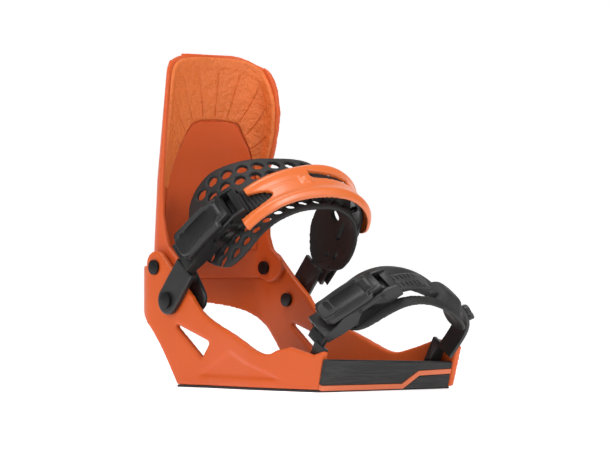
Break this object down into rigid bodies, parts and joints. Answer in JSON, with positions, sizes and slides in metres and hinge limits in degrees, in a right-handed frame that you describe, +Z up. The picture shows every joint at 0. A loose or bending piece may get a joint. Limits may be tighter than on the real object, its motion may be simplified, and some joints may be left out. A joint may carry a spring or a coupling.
{
  "type": "snowboard strap binding",
  "caption": "Two-strap snowboard binding with folding highback, heel hoop, perforated ankle strap, toe strap, ratchet buckles and mounting disc.",
  "frame": {"origin": "centre of the mounting disc on the board surface", "axes": "+X towards the toe, +Z up from the board, -Y the side the buckles are on"},
  "size_m": [0.257, 0.1374, 0.236],
  "materials": {
    "chassis_orange": "satin glass-filled nylon",
    "shell_orange": "satin nylon",
    "facing_orange": "grained synthetic leather on foam",
    "trim_orange": "satin",
    "frame_orange": "satin urethane",
    "gasket_rubber": "matte",
    "footbed_foam": "matte foam",
    "bumper_rubber": "matte",
    "ramp_black": "brushed grain",
    "bolt_black": "black oxide",
    "disc_grey": "cast",
    "hard_black": "satin nylon",
    "strap_black": "satin urethane",
    "pad_black": "moulded soft urethane",
    "steel": "brushed"
  },
  "bodies": {
    "chassis": {"base_plate": "chassis_orange", "side_frame_near": "chassis_orange", "side_frame_far": "chassis_orange", "heel_hoop": "chassis_orange", "base_gasket": "gasket_rubber", "footbed": "footbed_foam", "heel_bumper": "bumper_rubber", "toe_ramp": "ramp_black", "toe_trim": "trim_orange", "toe_block": "bumper_rubber", "pivot_bolts": "bolt_black", "pivot_washers": "bolt_black", "pivot_nuts": "bolt_black", "ankle_bolts": "bolt_black", "ankle_nuts": "bolt_black", "toe_screws": "bolt_black"},
    "disc": {"mounting_disc": "disc_grey"},
    "highback": {"highback_shell": "shell_orange", "highback_facing": "facing_orange", "highback_panel": "shell_orange", "lean_rail": "hard_black"},
    "lean_block": {"lean_block": "hard_black", "lean_lever_pin": "steel"},
    "lean_lever": {"lean_lever": "hard_black"},
    "ankle_strap": {"ankle_arm": "strap_black", "ankle_buckle_base": "hard_black", "ankle_lever_pin": "steel", "ankle_pawl_pin": "steel", "ankle_pawl_spring": "steel", "ankle_ladder": "strap_black", "ankle_pad": "pad_black", "ankle_frame": "frame_orange", "ankle_size_strap": "strap_black", "ankle_rivets": "bolt_black"},
    "ankle_lever": {"ankle_lever": "hard_black"},
    "ankle_release": {"ankle_release": "hard_black"},
    "toe_strap": {"toe_ladder": "strap_black", "toe_buckle_base": "hard_black", "toe_lever_pin": "steel", "toe_pawl_pin": "steel", "toe_pawl_spring": "steel", "toe_pad": "pad_black", "toe_size_strap": "strap_black", "toe_rivets": "bolt_black"},
    "toe_lever": {"toe_lever": "hard_black"},
    "toe_release": {"toe_release": "hard_black"},
    "toe_knob": {"toe_knob": "hard_black"}
  },
  "joints": [
    {"name": "stance_angle", "type": "hinge", "parent": "chassis", "child": "disc", "pos_m": [0, 0, 0], "axis": [0, 0, 1], "range_deg": [-45, 45]},
    {"name": "highback_fold", "type": "hinge", "parent": "chassis", "child": "highback", "pos_m": [-0.0945, 0, 0.083], "axis": [0, 1, 0], "range_deg": [0, 48]},
    {"name": "lean_slide", "type": "slide", "parent": "highback", "child": "lean_block", "axis": [0.0698, 0, 0.9976], "range_m": [0, 0.018]},
    {"name": "lean_lever_flip", "type": "hinge", "parent": "lean_block", "child": "lean_lever", "pos_m": [-0.13664, 0, 0.10249], "axis": [0, 1, 0], "range_deg": [0, 90]},
    {"name": "ankle_swing", "type": "hinge", "parent": "chassis", "child": "ankle_strap", "pos_m": [-0.076, 0, 0.06], "axis": [0, 1, 0], "range_deg": [0, 36]},
    {"name": "ankle_lever_lift", "type": "hinge", "parent": "ankle_strap", "child": "ankle_lever", "pos_m": [-0.0303, -0.04744, 0.12169], "axis": [-0.7586, 0.1392, 0.6365], "range_deg": [0, 75]},
    {"name": "ankle_release_press", "type": "hinge", "parent": "ankle_strap", "child": "ankle_release", "pos_m": [-0.0419, -0.05297, 0.10908], "axis": [0.7586, -0.1392, -0.6365], "range_deg": [0, 7], "stiffness_Nm_per_rad": 0.05, "springref_deg": -1.72},
    {"name": "toe_swing", "type": "hinge", "parent": "chassis", "child": "toe_strap", "pos_m": [0.068, 0, 0.016], "axis": [0, 1, 0], "range_deg": [-25, 0]},
    {"name": "toe_lever_lift", "type": "hinge", "parent": "toe_strap", "child": "toe_lever", "pos_m": [0.09424, -0.0229, 0.06953], "axis": [-0.8529, 0.1736, 0.4924], "range_deg": [0, 75]},
    {"name": "toe_release_press", "type": "hinge", "parent": "toe_strap", "child": "toe_release", "pos_m": [0.08585, -0.03513, 0.05931], "axis": [0.8529, -0.1736, -0.4924], "range_deg": [0, 7], "stiffness_Nm_per_rad": 0.05, "springref_deg": -1.72},
    {"name": "toe_knob_turn", "type": "hinge", "parent": "toe_strap", "child": "toe_knob", "pos_m": [0.09975, 0.05568, 0.05136], "axis": [0.4065, 0.8126, 0.4176], "range_deg": [-90, 90]}
  ],
  "couplings": [
    {"joint": "ankle_swing", "follows": "highback_fold", "ratio": 0.75}
  ]
}
